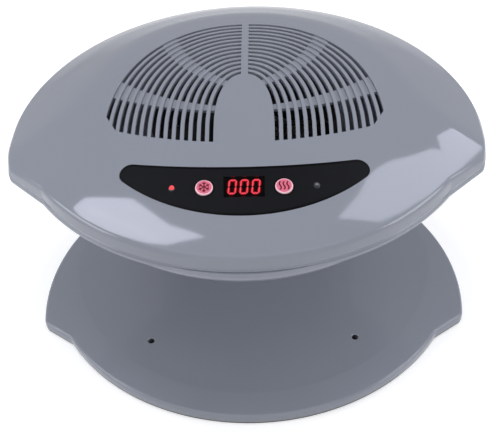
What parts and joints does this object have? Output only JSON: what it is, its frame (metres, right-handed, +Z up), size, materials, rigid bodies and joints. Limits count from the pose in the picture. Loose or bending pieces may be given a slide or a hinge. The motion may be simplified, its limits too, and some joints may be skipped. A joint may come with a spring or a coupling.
{
  "type": "nail dryer",
  "caption": "Tabletop two-hand nail dryer: a saucer-shaped hot and cool air head with an arched intake grille and button panel, on a rear column over a dished hand plate.",
  "frame": {"origin": "on the surface the feet stand on, below the middle of the overall box", "axes": "+Z up, -Y towards the user (the control panel's side), +X to the user's right"},
  "size_m": [0.34, 0.308, 0.2165],
  "materials": {
    "body_abs": "glossy moulded ABS, blue-grey",
    "dark_abs": "fine matte moulded plastic",
    "panel_black": "glossy acrylic fascia",
    "display_red": "clear red-tinted acrylic",
    "button_pink": "satin translucent plastic",
    "lamp_red": "clear epoxy lens, lit",
    "lamp_dark": "clear epoxy lens, unlit",
    "board_green": "glass-fibre circuit board",
    "screw_steel": "zinc-plated steel",
    "duct_plastic": "moulded heat-resisting plastic",
    "motor_steel": "pressed steel",
    "mica": "mica sheet",
    "nichrome": "oxidised resistance wire",
    "cutout_metal": "dull pressed can",
    "sensor_black": "dark infrared epoxy",
    "core_steel": "varnished laminations and bobbin",
    "foot_rubber": "soft matte rubber"
  },
  "bodies": {
    "housing": {"upper_cover": "body_abs", "lower_cover": "body_abs", "control_panel": "panel_black", "display_window": "display_red", "digit_display": "dark_abs", "cool_lamp": "lamp_red", "hot_lamp": "lamp_dark", "control_board": "board_green", "tact_switches": "dark_abs", "board_screws": "screw_steel", "head_screws": "screw_steel", "outlet_grille": "dark_abs", "fan_duct": "duct_plastic", "motor_bracket": "motor_steel", "fan_motor": "motor_steel", "motor_screws": "screw_steel", "bracket_screws": "screw_steel", "heater_frame": "mica", "heater_coil": "nichrome", "thermal_cutout": "cutout_metal", "head_sensors": "sensor_black", "neck_front": "body_abs", "neck_back": "body_abs", "neck_screws": "screw_steel", "neck_back_screws": "screw_steel", "power_board": "board_green", "transformer": "core_steel", "power_board_screws": "screw_steel", "rocker_housing": "dark_abs", "cord_gland": "dark_abs", "gland_nut": "dark_abs", "base_cover": "body_abs", "base_bottom": "dark_abs", "base_screws": "screw_steel", "column_screws": "screw_steel", "base_sensors": "sensor_black", "sensor_boards": "board_green", "rubber_feet": "foot_rubber"},
    "cool_button": {"cool_button": "button_pink"},
    "hot_button": {"hot_button": "button_pink"},
    "impeller": {"fan_impeller": "duct_plastic", "motor_shaft": "screw_steel"},
    "rocker": {"power_rocker": "dark_abs"}
  },
  "joints": [
    {"name": "cool_press", "type": "slide", "parent": "housing", "child": "cool_button", "axis": [0, 0.2593, -0.9658], "range_m": [0, 0.0005], "stiffness_N_per_m": 300},
    {"name": "hot_press", "type": "slide", "parent": "housing", "child": "hot_button", "axis": [0, 0.2593, -0.9658], "range_m": [0, 0.0005], "stiffness_N_per_m": 300},
    {"name": "fan_spin", "type": "hinge", "parent": "housing", "child": "impeller", "pos_m": [0, -0.016, 0.19], "axis": [0, 0, 1], "continuous": true},
    {"name": "rocker_tilt", "type": "hinge", "parent": "housing", "child": "rocker", "pos_m": [0, 0.1393, 0.128], "axis": [1, 0, 0], "range_deg": [-8, 8]}
  ]
}
